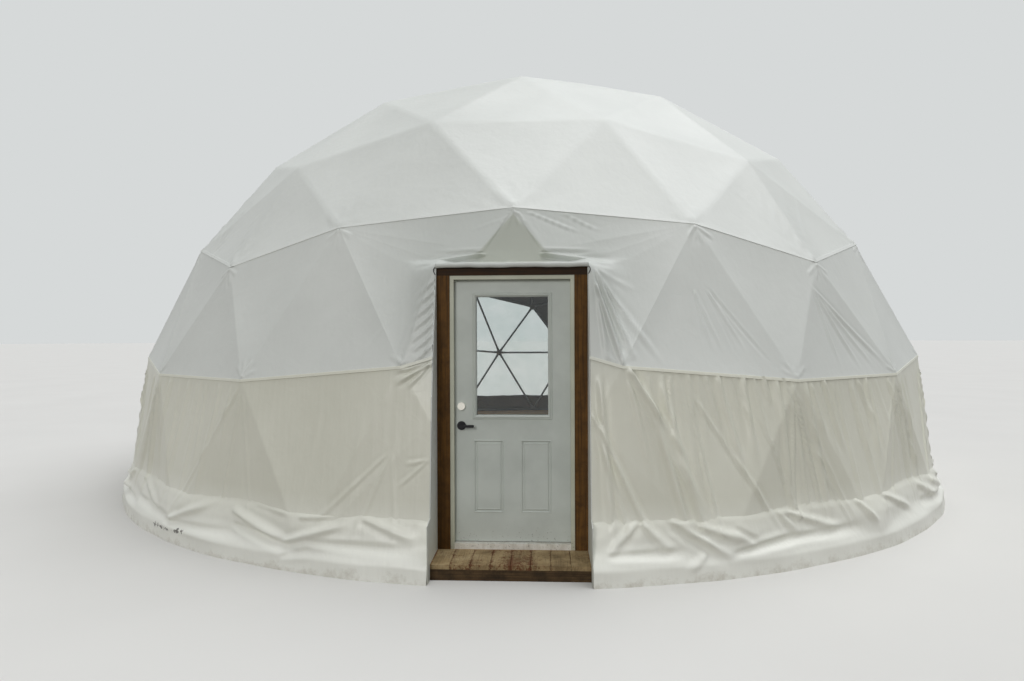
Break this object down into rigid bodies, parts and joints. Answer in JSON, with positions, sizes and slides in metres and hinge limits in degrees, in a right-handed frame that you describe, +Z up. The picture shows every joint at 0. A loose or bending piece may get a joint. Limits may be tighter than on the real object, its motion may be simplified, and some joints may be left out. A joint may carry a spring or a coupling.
{
  "type": "geodesic dome",
  "caption": "Geodesic dome shelter: tube frame under a white fabric cover with a skirt, on a round deck, with a hinged half-glazed door and a clear window bay.",
  "frame": {"origin": "on the ground under the crown of the dome", "axes": "+Z up, -Y out through the door, +X to the right of a person who faces the door from outside"},
  "size_m": [10.0926, 10.0571, 5.1281],
  "materials": {
    "coated_fabric": "satin white coated polyester fabric",
    "clear_vinyl": "clear flexible vinyl",
    "tube_steel": "galvanised tube",
    "hub_steel": "galvanised block",
    "deck_timber": "weathered boards",
    "stained_timber": "brown stain",
    "painted_jamb": "white paint",
    "door_enamel": "primed steel skin",
    "lite_moulding": "moulded frame",
    "door_glazing": "clear double glazing",
    "black_hardware": "satin black",
    "satin_nickel": "pale satin",
    "hinge_steel": "satin"
  },
  "bodies": {
    "shelter": {"cover_crown": "coated_fabric", "cover_left_of_door": "coated_fabric", "cover_over_door": "coated_fabric", "cover_right_of_door": "coated_fabric", "cover_roof_back": "coated_fabric", "cover_roof_left": "coated_fabric", "cover_roof_right": "coated_fabric", "cover_wall_back": "coated_fabric", "cover_wall_left": "coated_fabric", "cover_wall_right": "coated_fabric", "door_header": "stained_timber", "door_jamb_head": "painted_jamb", "door_jamb_left": "painted_jamb", "door_jamb_right": "painted_jamb", "door_post_left": "stained_timber", "door_post_right": "stained_timber", "door_threshold": "painted_jamb", "doorway_return_left": "coated_fabric", "doorway_return_right": "coated_fabric", "floor_deck": "deck_timber", "floor_joists": "deck_timber", "frame_base_ring": "tube_steel", "frame_crown": "tube_steel", "frame_roof_lower": "tube_steel", "frame_roof_upper": "tube_steel", "frame_wall_lower": "tube_steel", "frame_wall_upper": "tube_steel", "header_flap": "coated_fabric", "hinges_on_jamb": "hinge_steel", "hub_blocks_roof": "hub_steel", "hub_blocks_wall": "hub_steel", "landing_boards": "deck_timber", "landing_risers": "deck_timber", "platform_rim": "deck_timber", "skirt_back": "coated_fabric", "skirt_left": "coated_fabric", "skirt_right": "coated_fabric", "window_panes": "clear_vinyl"},
    "door": {"door_leaf": "door_enamel", "door_glass": "door_glazing", "lite_frame_outside": "lite_moulding", "lite_frame_inside": "lite_moulding", "door_deadbolt": "satin_nickel", "lever_roses": "black_hardware", "hinges_on_leaf": "hinge_steel"},
    "lever": {"door_levers": "black_hardware"}
  },
  "joints": [
    {"name": "door_swing", "type": "hinge", "parent": "shelter", "child": "door", "pos_m": [0.4565, -4.45789, 1.165], "axis": [0, 0, -1], "range_deg": [0, 100]},
    {"name": "lever_turn", "type": "hinge", "parent": "door", "child": "lever", "pos_m": [-0.3895, -4.4875, 1.044], "axis": [0, 1, 0], "range_deg": [0, 45], "stiffness_Nm_per_rad": 1.5, "springref_deg": -34.38}
  ]
}
